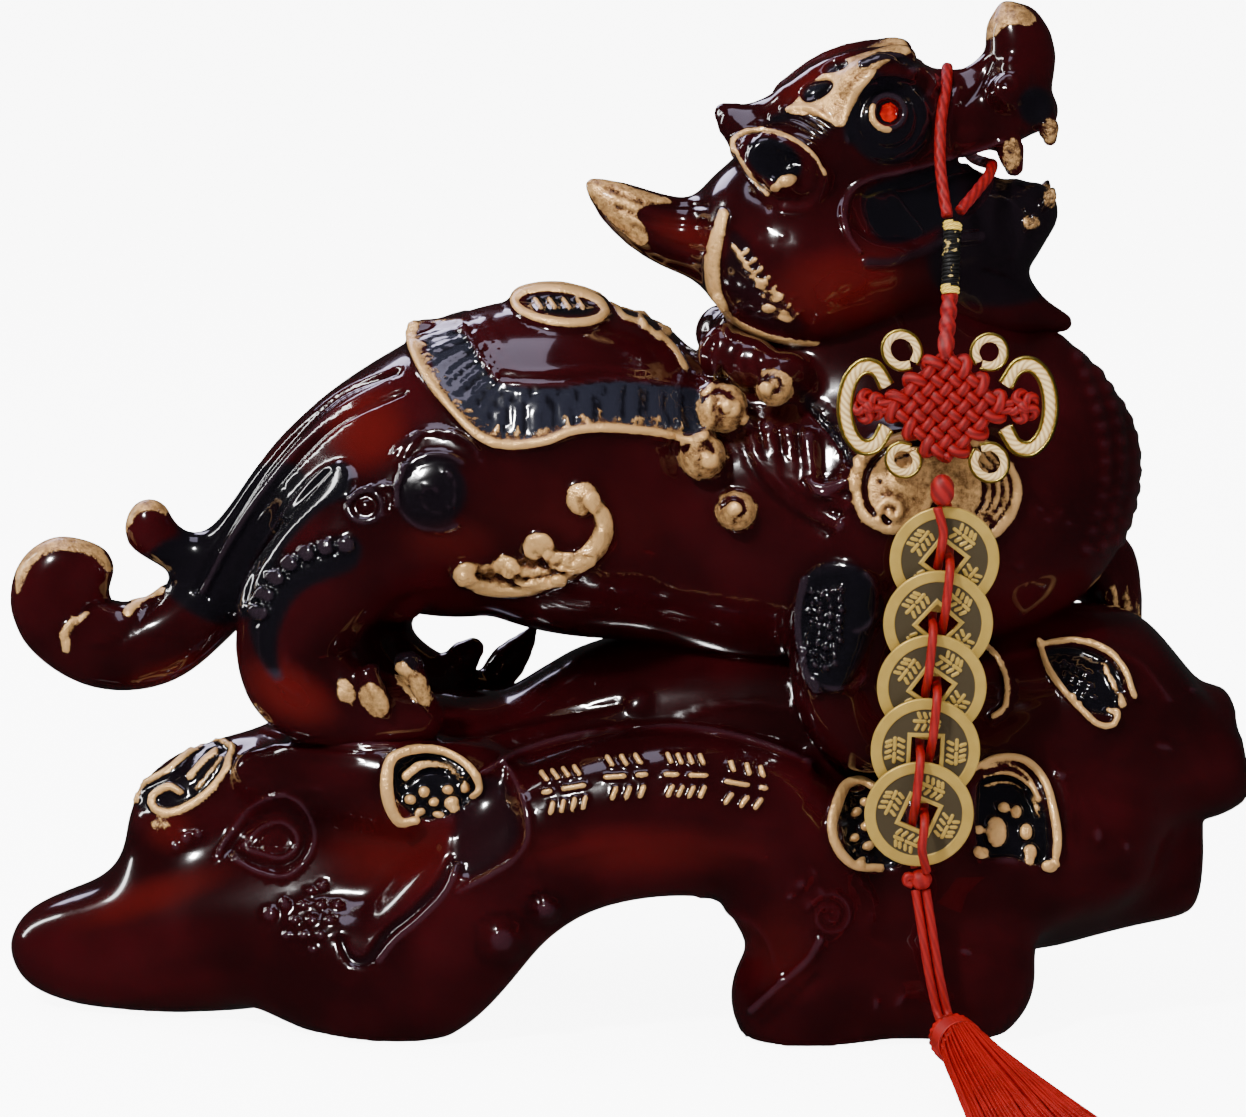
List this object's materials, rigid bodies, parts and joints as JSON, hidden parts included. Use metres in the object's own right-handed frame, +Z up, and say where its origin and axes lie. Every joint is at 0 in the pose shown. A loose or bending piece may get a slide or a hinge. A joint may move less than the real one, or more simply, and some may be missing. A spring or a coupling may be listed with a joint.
{
  "type": "pixiu figurine on a root-wood stand",
  "caption": "Lion-like mythical beast striding along an arched root-wood stand, glossy dark lacquer with gilded relief, with a knotted cord charm of coins and a tassel hung from its snout.",
  "frame": {"origin": "centre of the footprint of figure and stand, on the surface that it stands on", "axes": "+X toward the animal's head, -Y the side that carries the charm, +Z up"},
  "size_m": [0.2838, 0.192, 0.2275],
  "materials": {
    "lacquer": "high-gloss translucent dark red lacquer with dry-brushed gold on the raised carving",
    "stone": "polished red stone",
    "red_cord": "satin braided cord and thread",
    "trim_cord": "satin cream cord with a thin metallic gold one",
    "coin": "worn satin brass, darker in its sunken field",
    "sleeve_wrap": "dark thread with metallic flecks and a yellow band at each end"
  },
  "bodies": {
    "root": {"pixiu_on_root_stand": "lacquer", "eye_stone_near": "stone", "eye_stone_far": "stone", "charm_loop": "red_cord", "bound_sleeve": "sleeve_wrap", "knot_neck": "red_cord", "flat_knot": "red_cord", "trim_ear_left": "trim_cord", "trim_ear_right": "trim_cord", "trim_loop_top_left": "trim_cord", "trim_loop_top_right": "trim_cord", "trim_loop_low_left": "trim_cord", "trim_loop_low_right": "trim_cord", "button_knot": "red_cord", "cash_coin_1": "coin", "cash_coin_2": "coin", "cash_coin_3": "coin", "cash_coin_4": "coin", "cash_coin_5": "coin", "strand_left": "red_cord", "strand_right": "red_cord", "end_knot": "red_cord", "tassel_strand_left": "red_cord", "tassel_strand_right": "red_cord", "tassel_head": "red_cord", "tassel_skirt": "red_cord"}
  },
  "joints": []
}
